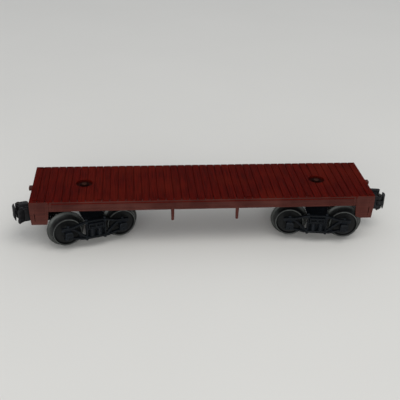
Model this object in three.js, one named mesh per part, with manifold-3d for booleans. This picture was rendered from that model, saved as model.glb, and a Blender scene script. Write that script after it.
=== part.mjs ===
// A model flat car in O gauge: a moulded plank deck on two swivelling arch-bar trucks,
// each with two flanged wheelsets and a knuckle coupler on a steel arm.
// Millimetres. +Z is up, X runs along the car, and the origin is on the floor under its centre.

import * as THREE from 'three';
import { mergeVertices } from 'three/addons/utils/BufferGeometryUtils.js';
import Module from 'manifold-3d';

const wasm = await Module();
wasm.setup();

// ---------- Driving dimensions ----------

const GAP = 0.3; // clearance between neighbouring pieces

const DECK = { length: 200, width: 44.9, top: 30.4, thickness: 2.0 };
const PLANK = { count: 44, grooveWidth: 0.4, grooveDepth: 0.35 };
const SILL = { bottom: 23.8, wall: 2.0, lip: 0.95, recess: 0.45, recessEnd: 87.6, endWall: 2.3 };
const LEG = { bottom: 15.5, inTop: 89.4, outBottom: 99.4, thickness: 1.6, flange: 5.2, groove: 0.5 };
// The left legs run straight down to the foot; the right legs are cut off at its inner corner.
const FOOT = { squareX: 90.3, cutTop: 16.7, cutTopX: 89.8, cutX: 92.9 };
const POST = { x: 18.8, fromEdge: 1.2, bottom: 16.3, topRadius: 1.05, tipRadius: 0.8 };
const SLOT = { xs: [26, 60, 95.8], length: 3.8, width: 1.0, fromEdge: 1.0, depth: 2.5 };
const LUG = { y: -2.2, width: 3.0, reach: 1.9, height: 2.2, below: 0.5 };
const RIB = { y: 8.5, width: 1.4, depth: 2.4, crossXs: [-35, 0, 35] };
const KINGPIN = { x: 69.9, shank: 1.6, head: 2.6, recess: 4.75, recessDepth: 1.2, boss: 6.6, bossZ: 24.2 };

const WHEEL = { flange: 11.0, tread: 9.3, rim: 8.56, rimWidth: 0.9, bore: 1.8, hub: 3.0 };
const WHEEL_Y = { back: 13.4, flangeBack: 14.6, flangeTop: 15.5, root: 16.4, face: 20.2, dish: 18.8 };
const AXLE = { radius: 1.5, journal: 1.0, shoulder: 20.3, end: 23.6 };
const TRUCK = { halfBase: 16.1, leftYaw: 17.5, rightYaw: -7.4 };

const FRAME = { inner: 20.9, bar: 22.9, plank: 24.3, box: 24.5, lid: 25.1 };
const ARCH = { top: 17.5, flat: 5.3, shoulder: 13.2, end: 19.8, endTop: 15.1, thick: 1.1 };
const TIE = { bottom: 5.6, thick: 1.1, flat: 7.0, rise: 1.5, riseX: 13.4, end: 18.7, gusset: 9.6 };
const COLUMN = { inner: 4.95, outer: 5.85, front: 23.4, web: 0.8 };
const SPRING = { xs: [-2.2, 2.2], y: 22.6, radius: 1.6, top: 12.7, cap: 13.1 };
const JOURNAL = { halfWidth: 2.3, bottom: 8.1, lidHalfWidth: 1.8, lidTop: 12.5, lidBottom: 8.5 };
const NUT = { radius: 0.85, height: 0.8 };
const BOLSTER = {
  halfWidth: 4.6, bottom: 13.4, end: 24.2, endTop: 16.1, kneeY: 19.0, shoulderY: 12.5, top: 19.5,
  plate: 6.8, plateTop: 23.9,
  wing: 6.6, wingBottom: 17.2, wingY: 9.0, // the wider top flange above the side frames
  skirt: 6.0, // half the width between the end's top and that flange
  tunnel: 5.6, // half the width of the slot below, where the coupler arm passes
};
const POCKET = { inner: 0.5, outer: 3.9, bottom: 13.9, top: 15.6, depth: 1.2 }; // two in each bolster end

const ARM = { bottom: 14.3, top: 15.3, halfWidth: 3.0, eye: 5.0, hole: 2.2, end: 36.6 };
const HEAD = { back: 33.3, front: 37.6, half: 4.5, bottom: 13.9, top: 22.4 };
const GUARD = { tipX: 41.0, tipY: 6.9, step: 0.3 };
const TAB = { x: [33.8, 39.3], y: [0.3, 2.6], top: 24.4 };
const EAR = { x: 39.0, y: -2.6, radius: 1.9, corner: 0.9, lowerTop: 16.4, upperBottom: 20.3 };
const KNUCKLE = { root: 41.4, tip: 42.9, bottom: 14.1, top: 22.1, side: 1.9, hubBottom: 16.7, hubTop: 19.2 };
const PIN = { radius: 0.7, hole: 1.0, head: 1.25, headHeight: 0.55 };
const SCREW = { x: 35.2, radius: 0.9, head: 1.5, headHeight: 0.4, hole: 1.2, top: 20.0 };
const PLATE = {
  bottom: 11.3, top: 12.0, rear: 4.4, blade: 2.2, lug: 0.9, bendX: 28.0, riseX: 30.5, rise: 1.3,
};
const TACK = { // the tack at the plate's tip
  x: 39.4, y: 0.3, radius: 1.05, tip: 0.45, bottom: 10.5, shoulder: 11.6, strip: 1.2, neckX: 37.1,
};
const HINGE = { x: 21.0, z: 13.35, half: 1.4, lug: 1.1, pin: 0.4, hole: 0.7, end: 4.9 };

// ---------- Materials ----------

function finish(colour, roughness, metalness = 0) {
  return new THREE.MeshStandardMaterial({ color: colour, roughness, metalness, flatShading: true });
}

const maroonPlastic = () => finish(0x4a1512, 0.45);
const blackPlastic = () => finish(0x141416, 0.5);
const darkWheel = () => finish(0x2a2c2b, 0.42, 0.3);
const blackCasting = () => finish(0x17171a, 0.45, 0.4);
const steel = () => finish(0x6c6a66, 0.4, 0.9);
const blackenedSteel = () => finish(0x2b2a2a, 0.45, 0.8);

// ---------- Solids ----------

// A closed three.js geometry as a manifold solid.
function solid(geometry) {
  const bare = geometry.clone();
  bare.deleteAttribute('normal');
  bare.deleteAttribute('uv');
  const merged = mergeVertices(bare, 1e-4);
  const index = merged.index.array;
  const kept = [];
  for (let i = 0; i < index.length; i += 3) {
    const [a, b, c] = [index[i], index[i + 1], index[i + 2]];
    if (a !== b && b !== c && c !== a) kept.push(a, b, c);
  }
  return new wasm.Manifold(new wasm.Mesh({
    numProp: 3,
    vertProperties: new Float32Array(merged.attributes.position.array),
    triVerts: new Uint32Array(kept),
  }));
}

function geometryOf(manifold) {
  const mesh = manifold.getMesh();
  const geometry = new THREE.BufferGeometry();
  geometry.setAttribute('position', new THREE.BufferAttribute(new Float32Array(mesh.vertProperties), 3));
  geometry.setIndex(new THREE.BufferAttribute(new Uint32Array(mesh.triVerts), 1));
  geometry.computeVertexNormals();
  return geometry;
}

function union(first, ...others) {
  return others.reduce((whole, next) => whole.add(next), first);
}

// A box between two opposite corners.
function block([x0, y0, z0], [x1, y1, z1]) {
  const box = new THREE.BoxGeometry(Math.abs(x1 - x0), Math.abs(y1 - y0), Math.abs(z1 - z0));
  return solid(box.translate((x0 + x1) / 2, (y0 + y1) / 2, (z0 + z1) / 2));
}

function outline(points) {
  return new THREE.Shape(points.map(([u, v]) => new THREE.Vector2(u, v)));
}

// An outline in X and Y, raised from z0 to z1.
function raised(shape, z0, z1, curveSegments = 8) {
  const options = { depth: z1 - z0, bevelEnabled: false, curveSegments };
  return solid(new THREE.ExtrudeGeometry(shape, options).translate(0, 0, z0));
}

// An outline in X and Z, running across the car from y0 to y1.
function across(shape, y0, y1, curveSegments = 8) {
  const options = { depth: y1 - y0, bevelEnabled: false, curveSegments };
  return solid(new THREE.ExtrudeGeometry(shape, options).rotateX(Math.PI / 2).translate(0, y1, 0));
}

// An outline in Y and Z, running along the car from x0 to x1.
function along(shape, x0, x1) {
  const geometry = new THREE.ExtrudeGeometry(shape, { depth: x1 - x0, bevelEnabled: false });
  return solid(geometry.rotateX(Math.PI / 2).rotateZ(Math.PI / 2).translate(x0, 0, 0));
}

// A turned shape on a vertical axis: profile points are radius and height.
function upright(points, x = 0, y = 0, segments = 16) {
  const profile = points.map(([r, z]) => new THREE.Vector2(r, z));
  const geometry = new THREE.LatheGeometry(profile, segments).rotateX(Math.PI / 2);
  return solid(geometry.translate(x, y, 0));
}

function rod(radius, z0, z1, x = 0, y = 0, segments = 16) {
  return upright([[0, z0], [radius, z0], [radius, z1], [0, z1]], x, y, segments);
}

// A turned shape on an axis across the car: profile points are radius and Y.
function crosswise(points, x = 0, z = 0, segments = 24) {
  const profile = points.map(([r, y]) => new THREE.Vector2(r, y));
  return solid(new THREE.LatheGeometry(profile, segments).translate(x, 0, z));
}

function crossRod(radius, y0, y1, x, z, segments = 10) {
  return crosswise([[0, y0], [radius, y0], [radius, y1], [0, y1]], x, z, segments);
}

// A shape and its mirror image at the other end.
function mirroredX(manifold) {
  return manifold.add(manifold.mirror([1, 0, 0]));
}

// A shape and its mirror image on the other side.
function mirroredY(manifold) {
  return manifold.add(manifold.mirror([0, 1, 0]));
}

function piece(parent, name, shape, material) {
  const mesh = new THREE.Mesh(geometryOf(shape), material);
  mesh.name = name;
  parent.add(mesh);
  return mesh;
}

// ---------- Body ----------

const halfLength = DECK.length / 2;
const halfWidth = DECK.width / 2;
const deckUnder = DECK.top - DECK.thickness;

// The deck's side view, with a groove between each plank and the next.
function plankedDeck() {
  const pitch = DECK.length / PLANK.count;
  const half = PLANK.grooveWidth / 2;
  const points = [[-halfLength, deckUnder], [halfLength, deckUnder], [halfLength, DECK.top]];
  for (let i = PLANK.count - 1; i > 0; i -= 1) {
    const x = -halfLength + i * pitch;
    points.push([x + half, DECK.top], [x, DECK.top - PLANK.grooveDepth], [x - half, DECK.top]);
  }
  points.push([-halfLength, DECK.top]);
  return across(outline(points), -halfWidth, halfWidth);
}

// A side sill with a shallow recess in its face, for the +Y side.
function sideSill() {
  const wall = block(
    [-halfLength, halfWidth - SILL.wall, SILL.bottom],
    [halfLength, halfWidth, DECK.top - PLANK.grooveDepth],
  );
  const face = halfWidth - SILL.recess;
  const panel = block(
    [-SILL.recessEnd, face, SILL.bottom + SILL.lip],
    [SILL.recessEnd, halfWidth + 1, DECK.top - SILL.lip],
  );
  const seam = block(
    [LEG.inTop - LEG.groove, face, SILL.bottom - 1],
    [LEG.inTop, halfWidth + 1, DECK.top - SILL.lip],
  );
  return wall.subtract(panel).subtract(mirroredX(seam));
}

// The space the wheels sweep, at the height of the legs, when the truck at +X swivels.
function wheelSweep() {
  const steps = 6;
  const top = 2 * WHEEL.flange - 1;
  const points = [[0, LEG.bottom - 1]];
  for (let i = -1; i <= steps; i += 1) {
    const z = LEG.bottom + (i / steps) * (top - LEG.bottom);
    const chord = Math.sqrt(WHEEL.flange ** 2 - (z - WHEEL.flange) ** 2);
    points.push([Math.hypot(TRUCK.halfBase + chord, WHEEL_Y.flangeTop) + GAP, Math.max(z, LEG.bottom - 1)]);
  }
  points.push([0, top]);
  return upright(points, KINGPIN.x, 0, 96);
}

// A corner leg at the +X, +Y corner: a tapered side panel and a short end panel.
// Its inner edge runs down to the foot, or is cut off there, and its back is hollowed for the wheels.
function cornerLeg(cutFoot) {
  const top = DECK.top - PLANK.grooveDepth;
  const foot = cutFoot
    ? [[FOOT.cutTopX, FOOT.cutTop], [FOOT.cutX, LEG.bottom]]
    : [[FOOT.squareX, LEG.bottom]];
  const side = across(outline([
    ...foot, [LEG.outBottom, LEG.bottom], [halfLength, SILL.bottom],
    [halfLength, top], [LEG.inTop, top], [LEG.inTop, SILL.bottom],
  ]), halfWidth - LEG.thickness, halfWidth);
  const inner = halfWidth - LEG.flange;
  const end = across(outline([
    [LEG.outBottom - SILL.endWall, LEG.bottom], [LEG.outBottom, LEG.bottom], [halfLength, SILL.bottom],
    [halfLength, top], [halfLength - SILL.endWall, top], [halfLength - SILL.endWall, SILL.bottom],
  ]), inner, halfWidth);
  const seamX = halfLength - SILL.endWall;
  const seam = block(
    [seamX - LEG.groove, halfWidth - SILL.recess, LEG.bottom + 1.4],
    [seamX, halfWidth + 1, SILL.bottom + 0.6],
  );
  return side.add(end).subtract(seam).subtract(wheelSweep());
}

function endSill() {
  return block(
    [halfLength - SILL.endWall, -halfWidth, SILL.bottom],
    [halfLength, halfWidth, DECK.top - PLANK.grooveDepth],
  );
}

function endLug() {
  const top = DECK.top - LUG.below;
  return block(
    [halfLength - 1, LUG.y - LUG.width / 2, top - LUG.height],
    [halfLength + LUG.reach, LUG.y + LUG.width / 2, top],
  );
}

// A tapered post that hangs from the side sill, for the +X, +Y quarter.
function queenPost() {
  const top = SILL.bottom + 1;
  const round = POST.tipRadius * 0.5;
  return upright([
    [0, POST.bottom], [round, POST.bottom], [POST.tipRadius, POST.bottom + round],
    [POST.topRadius, SILL.bottom], [POST.topRadius, top], [0, top],
  ], POST.x, halfWidth - POST.fromEdge, 12);
}

function stakeSlots() {
  const y = halfWidth - SLOT.fromEdge - SLOT.width / 2;
  const cuts = [];
  for (const x of SLOT.xs) {
    cuts.push(block(
      [x - SLOT.length / 2, y - SLOT.width / 2, DECK.top - SLOT.depth],
      [x + SLOT.length / 2, y + SLOT.width / 2, DECK.top + 1],
    ));
  }
  return union(...cuts);
}

function underRibs() {
  const bottom = deckUnder - RIB.depth;
  const half = RIB.width / 2;
  const length = halfLength - SILL.endWall / 2;
  const wide = halfWidth - SILL.wall / 2;
  const ribs = [];
  for (const y of [-RIB.y, RIB.y]) {
    ribs.push(block([-length, y - half, bottom], [length, y + half, deckUnder + 0.5]));
  }
  for (const x of RIB.crossXs) {
    ribs.push(block([x - half, -wide, bottom], [x + half, wide, deckUnder + 0.5]));
  }
  return union(...ribs);
}

function body() {
  const rightLegs = mirroredY(cornerLeg(true));
  const leftLegs = mirroredY(cornerLeg(false)).mirror([1, 0, 0]);
  const end = endSill();
  const sill = sideSill();
  const lugs = endLug().add(endLug().mirror([1, 0, 0]));
  const boss = rod(KINGPIN.boss, KINGPIN.bossZ, deckUnder + 0.5, KINGPIN.x, 0, 24);
  const shell = union(
    plankedDeck(), underRibs(), lugs, leftLegs, rightLegs, mirroredX(mirroredY(queenPost())),
    mirroredY(sill), mirroredX(end), mirroredX(boss),
  );
  const recess = rod(KINGPIN.recess, DECK.top - KINGPIN.recessDepth, DECK.top + 1, KINGPIN.x, 0, 24);
  const hole = rod(KINGPIN.shank + 0.4, KINGPIN.bossZ - 1, DECK.top + 1, KINGPIN.x, 0, 16);
  const slots = mirroredX(mirroredY(stakeSlots()));
  return shell.subtract(mirroredX(recess.add(hole))).subtract(slots);
}

// ---------- Kingpins ----------

function kingpin() {
  const headBottom = DECK.top - KINGPIN.recessDepth + GAP;
  const tailTop = ARM.bottom - 3 * GAP - 0.6;
  return upright([
    [0, tailTop - 0.9], [2.2, tailTop - 0.9], [KINGPIN.head, tailTop],
    [KINGPIN.shank, tailTop], [KINGPIN.shank, headBottom], [KINGPIN.head, headBottom],
    [KINGPIN.head, headBottom + 0.3], [1.5, headBottom + 0.75], [0, headBottom + 0.75],
  ]);
}

function kingpinWasher() {
  const top = ARM.bottom - GAP;
  return rod(4.0, top - 0.6, top).subtract(rod(KINGPIN.shank + GAP, top - 2, top + 1, 0, 0, 12));
}

// ---------- Wheelsets ----------

function wheel() {
  const face = WHEEL_Y.face;
  return crosswise([
    [WHEEL.bore, WHEEL_Y.back], [WHEEL.hub, WHEEL_Y.back], [WHEEL.hub, WHEEL_Y.flangeBack],
    [WHEEL.flange, WHEEL_Y.flangeBack + 0.3], [WHEEL.flange, WHEEL_Y.flangeTop],
    [WHEEL.tread, WHEEL_Y.root], [WHEEL.rim, face], [WHEEL.rim - WHEEL.rimWidth, face],
    [WHEEL.rim - WHEEL.rimWidth - 0.4, WHEEL_Y.dish], [WHEEL.hub, WHEEL_Y.dish], [WHEEL.hub, face - 0.2],
    [WHEEL.bore, face - 0.2], [WHEEL.bore, WHEEL_Y.back],
  ]);
}

function axle() {
  const { radius, journal, shoulder, end } = AXLE;
  return crosswise([
    [0, -end], [journal, -end], [journal, -shoulder], [radius, -shoulder],
    [radius, shoulder], [journal, shoulder], [journal, end], [0, end],
  ], 0, 0, 12);
}

// ---------- Side frames ----------

// A bent flat bar seen from the side: the half from the middle to one end, and its mirror image.
function bentBar(points, y0, y1) {
  const upper = points.map(([x, z]) => [x, z]);
  const lower = points.map(([x, z, thick]) => [x, z - thick]).reverse();
  const half = across(outline([...upper, ...lower]), y0, y1);
  return mirroredX(half);
}

// The three bars, with a small gusset beside each column where the lower two part.
function archBars() {
  const { top, flat, shoulder, end, endTop, thick } = ARCH;
  const under = endTop - thick + 0.1;
  const tieTop = TIE.bottom + TIE.thick;
  const low = tieTop + thick - 0.1;
  const topBar = bentBar([[-0.1, top, thick], [flat, top, thick], [shoulder, endTop, thick],
    [end, endTop, thick]], FRAME.inner, FRAME.bar);
  const invertedBar = bentBar([[-0.1, low, thick], [flat + 0.9, low, thick],
    [shoulder - 0.4, under, 1.25 * thick], [end, under, thick]], FRAME.inner, FRAME.bar);
  const tieEnd = tieTop + TIE.rise;
  const tie = bentBar([[-0.1, tieTop, TIE.thick], [TIE.flat, tieTop, TIE.thick],
    [TIE.riseX, tieEnd, TIE.thick], [TIE.end, tieEnd, TIE.thick]], FRAME.inner, FRAME.bar);
  const slope = (under - low) / (shoulder - flat - 1.3);
  const gussetTop = low + slope * (TIE.gusset - flat - 1.9);
  const gusset = mirroredX(across(outline([
    [COLUMN.outer - 0.1, tieTop - 0.1], [TIE.gusset, tieTop - 0.1], [TIE.gusset, gussetTop],
    [flat + 0.9, low - 0.2], [COLUMN.outer - 0.1, low - 0.2],
  ]), FRAME.inner, FRAME.inner + COLUMN.web));
  return union(topBar, invertedBar, tie, gusset);
}

function nut(x, z0, z1) {
  return rod(NUT.radius, z0, z1, x, (FRAME.inner + FRAME.bar) / 2, 6);
}

// The columns, spring plank, moulded springs, their cap and the web behind, with nuts above and below.
function springNest() {
  const tieTop = TIE.bottom + TIE.thick;
  const column = block([COLUMN.inner, FRAME.inner, tieTop], [COLUMN.outer, COLUMN.front, ARCH.top - 0.4]);
  const nuts = nut(5.4, ARCH.top - 0.2, ARCH.top + NUT.height).add(nut(5.4, TIE.bottom - 0.7, tieTop));
  const plank = block([-COLUMN.outer, FRAME.inner, tieTop - 0.1], [COLUMN.outer, FRAME.plank, tieTop + 1.1]);
  const cap = block([-COLUMN.inner - 0.2, FRAME.inner + 0.2, SPRING.top - 0.1],
    [COLUMN.inner + 0.2, FRAME.plank - 0.4, SPRING.cap]);
  const web = block([-COLUMN.inner - 0.1, FRAME.inner, tieTop + 1],
    [COLUMN.inner + 0.1, FRAME.inner + COLUMN.web, SPRING.cap]);
  const springs = SPRING.xs.map((x) => rod(SPRING.radius, tieTop + 1, SPRING.top, x, SPRING.y, 12));
  return union(mirroredX(column.add(nuts)), plank, web, cap, ...springs);
}

// A journal box with a sloping lid, and its bolt above.
function journalBox() {
  const x = TRUCK.halfBase;
  const w = JOURNAL.halfWidth;
  const top = ARCH.endTop - 2 * ARCH.thick + 0.2;
  const box = block([x - w, FRAME.inner, JOURNAL.bottom], [x + w, FRAME.box, top]);
  const lid = along(outline([
    [FRAME.box - 0.1, JOURNAL.lidBottom], [FRAME.lid, JOURNAL.lidBottom + 0.3],
    [FRAME.lid - 0.2, JOURNAL.lidTop], [FRAME.box - 0.1, JOURNAL.lidTop + 0.3],
  ]), x - JOURNAL.lidHalfWidth, x + JOURNAL.lidHalfWidth);
  const bolt = nut(x, ARCH.endTop - 0.2, ARCH.endTop + NUT.height);
  return union(box, lid, bolt);
}

// A side frame for the +Y side of its truck.
function sideFrame() {
  const whole = union(archBars(), springNest(), mirroredX(journalBox()));
  const bearing = crossRod(AXLE.journal + GAP, FRAME.inner - 1, AXLE.end + GAP, TRUCK.halfBase, WHEEL.flange);
  return whole.subtract(mirroredX(bearing));
}

// ---------- Bolster ----------

function bolster() {
  const { halfWidth: half, bottom, end, endTop, kneeY, shoulderY, top, plate, plateTop, tunnel } = BOLSTER;
  const { wing, wingBottom, wingY, skirt } = BOLSTER;
  const roof = ARM.top + GAP;
  const beam = along(outline([
    [-end, bottom], [-tunnel, bottom], [-tunnel, roof], [tunnel, roof], [tunnel, bottom], [end, bottom],
    [end, endTop], [kneeY, endTop], [shoulderY, top], [-shoulderY, top], [-kneeY, endTop], [-end, endTop],
  ]), -half, half);
  const slope = (kneeY - shoulderY) / (top - endTop);
  const wingEnd = shoulderY + slope * (top - wingBottom);
  const upper = along(outline([[wingY, wingBottom], [wingEnd, wingBottom], [shoulderY, top], [wingY, top]]),
    -wing, wing);
  const lower = along(outline([[wingY, endTop], [kneeY, endTop], [wingEnd, wingBottom], [wingY, wingBottom]]),
    -skirt, skirt);
  const wings = mirroredY(upper.add(lower));
  const centre = rod(plate, top - 0.5, plateTop, 0, 0, 24);
  const pocket = block(
    [POCKET.inner, end - POCKET.depth, POCKET.bottom],
    [POCKET.outer, end + 1, POCKET.top],
  );
  const pockets = mirroredX(mirroredY(pocket));
  return union(beam, wings, centre).subtract(rod(KINGPIN.shank + 0.4, 0, plateTop + 1)).subtract(pockets);
}

// ---------- Coupler ----------

// The steel strip from the kingpin out to the coupler head, with two small hinge lugs below it.
function couplerArm() {
  const { bottom, top, halfWidth: half, eye, hole, end } = ARM;
  const strip = block([0, -half, bottom], [end, half, top]);
  const ring = rod(eye, bottom, top, 0, 0, 20);
  const lug = block(
    [HINGE.x - HINGE.lug, half - HINGE.lug, PLATE.top + GAP],
    [HINGE.x + HINGE.lug, half, bottom + 0.2],
  );
  const hinge = crossRod(HINGE.hole, -HINGE.end, HINGE.end, HINGE.x, HINGE.z);
  const screwHole = rod(SCREW.hole, bottom - 1, top + 1, SCREW.x, 0, 12);
  return union(strip, ring, mirroredY(lug)).subtract(union(rod(hole, bottom - 1, top + 1), hinge, screwHole));
}

// The curved arm on the side of the head away from the knuckle.
function guardArm() {
  const { tipX, tipY, step } = GUARD;
  const outer = [[HEAD.front - 1.1, HEAD.half], [tipX - 2.8, tipY - 1.1], [tipX - 0.8, tipY]];
  const tip = [[tipX, tipY - 0.3], [tipX - 0.1, tipY - 1.3]];
  const inner = [[tipX - 1.4, HEAD.half - 0.1], [HEAD.front + 0.6, 1.0], [HEAD.front - 1.1, 1.0]];
  return raised(outline([...outer, ...tip, ...inner]), HEAD.bottom + step, HEAD.top - step);
}

function couplerHead() {
  const { back, front, half, bottom, top } = HEAD;
  const rear = block([back, -half, bottom], [front, half, top]);
  const tab = block([TAB.x[0], TAB.y[0], top - 0.2], [TAB.x[1], TAB.y[1], TAB.top]);
  const shelf = block([front - 0.2, EAR.y + 0.7, EAR.upperBottom + 0.2], [TAB.x[1], TAB.y[1] + 0.2, top]);
  const whole = union(rear, guardArm(), tab, shelf, ear(bottom, EAR.lowerTop), ear(EAR.upperBottom, top));
  const slotHalf = ARM.halfWidth + GAP;
  const armSlot = block([back - 1, -slotHalf, bottom - 1], [ARM.end + GAP, slotHalf, ARM.top + GAP]);
  const hubSpace = rod(EAR.radius + 0.4, EAR.lowerTop, EAR.upperBottom, EAR.x, EAR.y, 16);
  const pinHole = rod(PIN.hole, bottom - 1, top + 1, EAR.x, EAR.y, 10);
  const screwHole = rod(SCREW.hole, bottom - 1, SCREW.top + GAP, SCREW.x, 0, 10);
  return whole.subtract(union(armSlot, hubSpace, pinHole, screwHole));
}

// One of the two ears that carry the knuckle pin, with its front corners cut for the knuckle's swing.
function ear(z0, z1) {
  const { x, y, radius, corner } = EAR;
  return raised(outline([
    [HEAD.front - 0.2, y - radius], [x + corner, y - radius], [x + radius, y - corner],
    [x + radius, y + corner], [x + corner, y + radius], [HEAD.front - 0.2, y + radius],
  ]), z0, z1);
}

function knuckle() {
  const { root, tip, bottom, top, side, hubBottom, hubTop } = KNUCKLE;
  const hook = raised(outline([
    [root, -4.5], [tip - 0.9, -3.7], [tip - 0.4, -2.6], [tip, -1.2], [tip, 1.4],
    [tip - 0.7, 2.4], [root + 0.2, 2.2], [root, 1.2],
  ]), bottom, top);
  const tongue = block([EAR.x, EAR.y - side, hubBottom], [root + 0.2, EAR.y + side, hubTop]);
  const hub = rod(side, hubBottom, hubTop, EAR.x, EAR.y, 16);
  const hole = rod(PIN.hole, bottom, top, EAR.x, EAR.y, 12);
  return union(hook, tongue, hub).subtract(hole);
}

function headedPin(radius, headRadius, z0, z1, x, y) {
  return upright([
    [0, z0 - PIN.headHeight], [headRadius, z0 - PIN.headHeight], [headRadius, z0], [radius, z0],
    [radius, z1], [headRadius, z1], [headRadius, z1 + PIN.headHeight], [0, z1 + PIN.headHeight],
  ], x, y, 10);
}

function knucklePin() {
  return headedPin(PIN.radius, PIN.head, HEAD.bottom - GAP, HEAD.top + GAP, EAR.x, EAR.y);
}

function knuckleSpring() {
  const ring = rod(1.8, KNUCKLE.hubTop + GAP, EAR.upperBottom - GAP, EAR.x, EAR.y, 12);
  return ring.subtract(rod(PIN.hole, 0, DECK.top, EAR.x, EAR.y, 12));
}

function headScrew() {
  const { x, radius, head, headHeight, top } = SCREW;
  const z = ARM.bottom - GAP;
  const low = z - headHeight;
  return upright([[0, low], [head, low], [head, z], [radius, z], [radius, top], [0, top]], x, 0, 12);
}

// The bent plate under the coupler, with a tack at its tip: it drops there to let the knuckle open.
function uncouplingPlate() {
  const { bottom, top, rear, blade, lug, bendX, riseX, rise } = PLATE;
  const root = block([HINGE.x - HINGE.half, -rear, bottom], [HINGE.x + HINGE.half, rear, top]);
  const strip = across(outline([
    [HINGE.x, bottom], [bendX, bottom], [riseX, bottom + rise], [TACK.neckX, bottom + rise],
    [TACK.neckX, top + rise], [riseX - 0.3, top + rise], [bendX - 0.3, top], [HINGE.x, top],
  ]), -blade, blade);
  const neck = block(
    [TACK.neckX - 0.5, TACK.y - TACK.strip, bottom + rise],
    [TACK.x, TACK.y + TACK.strip, top + rise],
  );
  const tack = upright([
    [0, TACK.bottom], [TACK.tip, TACK.bottom], [TACK.radius, TACK.shoulder],
    [TACK.radius, top + rise], [0, top + rise],
  ], TACK.x, TACK.y, 12);
  const hingeLug = block(
    [HINGE.x - HINGE.half, rear - lug, bottom],
    [HINGE.x + HINGE.half, rear, HINGE.z + HINGE.lug],
  );
  const hole = crossRod(HINGE.hole, -HINGE.end - 1, HINGE.end + 1, HINGE.x, HINGE.z);
  return union(root, strip, mirroredY(hingeLug), neck, tack).subtract(hole);
}

function plateHingePin() {
  return crossRod(HINGE.pin, -HINGE.end, HINGE.end, HINGE.x, HINGE.z);
}

// ---------- Assembly ----------

// A truck stands in its own frame: +X points to its coupler, and front tells which side is -Y in the car.
function addTruck(car, end, x, yaw, sides) {
  const truck = new THREE.Group();
  truck.position.set(x, 0, 0);
  truck.rotation.z = THREE.MathUtils.degToRad(yaw);
  car.add(truck);

  piece(truck, `truck_bolster_${end}`, bolster(), blackPlastic());
  for (const [side, turn] of sides) {
    const sideGroup = new THREE.Group();
    sideGroup.rotation.z = turn;
    truck.add(sideGroup);
    piece(sideGroup, `side_frame_${end}_${side}`, sideFrame(), blackPlastic());
  }

  for (const [place, axleX] of [['outer', TRUCK.halfBase], ['inner', -TRUCK.halfBase]]) {
    const wheelset = new THREE.Group();
    wheelset.position.set(axleX, 0, WHEEL.flange);
    truck.add(wheelset);
    piece(wheelset, `axle_${end}_${place}`, axle(), steel());
    for (const [side, turn] of sides) {
      const mesh = piece(wheelset, `wheel_${end}_${place}_${side}`, wheel(), darkWheel());
      mesh.rotation.z = turn;
    }
  }

  piece(truck, `coupler_arm_${end}`, couplerArm(), blackenedSteel());
  piece(truck, `coupler_head_${end}`, couplerHead(), blackCasting());
  piece(truck, `head_screw_${end}`, headScrew(), steel());
  piece(truck, `knuckle_${end}`, knuckle(), blackCasting());
  piece(truck, `knuckle_pin_${end}`, knucklePin(), steel());
  piece(truck, `knuckle_spring_${end}`, knuckleSpring(), steel());
  piece(truck, `uncoupling_plate_${end}`, uncouplingPlate(), blackenedSteel());
  piece(truck, `plate_hinge_pin_${end}`, plateHingePin(), steel());
}

const car = new THREE.Group();
piece(car, 'body', body(), maroonPlastic());
for (const [end, x] of [['left', -KINGPIN.x], ['right', KINGPIN.x]]) {
  piece(car, `kingpin_${end}`, kingpin(), steel()).position.x = x;
  piece(car, `kingpin_washer_${end}`, kingpinWasher(), steel()).position.x = x;
}
addTruck(car, 'left', -KINGPIN.x, 180 + TRUCK.leftYaw, [['front', 0], ['rear', Math.PI]]);
addTruck(car, 'right', KINGPIN.x, TRUCK.rightYaw, [['rear', 0], ['front', Math.PI]]);

export default car;
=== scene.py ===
"""A model flat car in O gauge: moulded plank deck, two arch-bar trucks and knuckle couplers.

Shapes are worked out in millimetres and turned into metres when a piece is made. Each truck is
modelled in its own frame, where X points out to its coupler and Z is up from the floor.
"""
import math
import random

import bmesh
import bpy
from mathutils import Matrix, Vector


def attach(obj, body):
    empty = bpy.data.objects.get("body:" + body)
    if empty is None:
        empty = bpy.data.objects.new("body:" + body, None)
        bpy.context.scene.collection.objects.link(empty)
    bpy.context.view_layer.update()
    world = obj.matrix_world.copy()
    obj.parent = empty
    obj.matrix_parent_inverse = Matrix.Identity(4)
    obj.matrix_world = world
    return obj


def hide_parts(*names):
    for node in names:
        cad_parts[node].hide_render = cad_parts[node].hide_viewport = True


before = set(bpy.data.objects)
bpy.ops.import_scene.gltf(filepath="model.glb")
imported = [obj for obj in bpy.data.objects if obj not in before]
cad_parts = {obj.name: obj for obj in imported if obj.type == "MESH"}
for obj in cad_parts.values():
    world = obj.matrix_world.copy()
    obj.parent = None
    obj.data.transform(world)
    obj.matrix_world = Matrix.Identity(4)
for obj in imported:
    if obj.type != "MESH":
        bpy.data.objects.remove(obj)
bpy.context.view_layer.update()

MM = 0.001

# ---------- Dimensions, in millimetres ----------

LENGTH, WIDTH, TOP = 200.0, 44.9, 30.4
HALF_L, HALF_W = LENGTH / 2, WIDTH / 2
PLANKS, PLANK_GAP, PLANK_BASE = 44, 0.42, 29.92
DECK_UNDER = 28.4
SILL_BOTTOM, SILL_INNER, SILL_FACE = 23.8, 20.45, 22.0
RECESS_END, LEG_IN_TOP, LEG_OUT_BOTTOM, LEG_BOTTOM, LEG_INNER = 87.6, 89.4, 99.4, 15.5, 20.85
LEG_FEET = {"left": [(90.3, LEG_BOTTOM)], "right": [(89.8, 16.7), (92.9, LEG_BOTTOM)]}
END_WALL = 2.3
KINGPIN_X = 69.9
SLOT_XS, SLOT_LENGTH, SLOT_WIDTH, SLOT_Y = (26, 60, 95.8), 3.8, 1.0, 20.95
POST_X, POST_Y, POST_BOTTOM = 18.8, 21.25, 16.3

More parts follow.
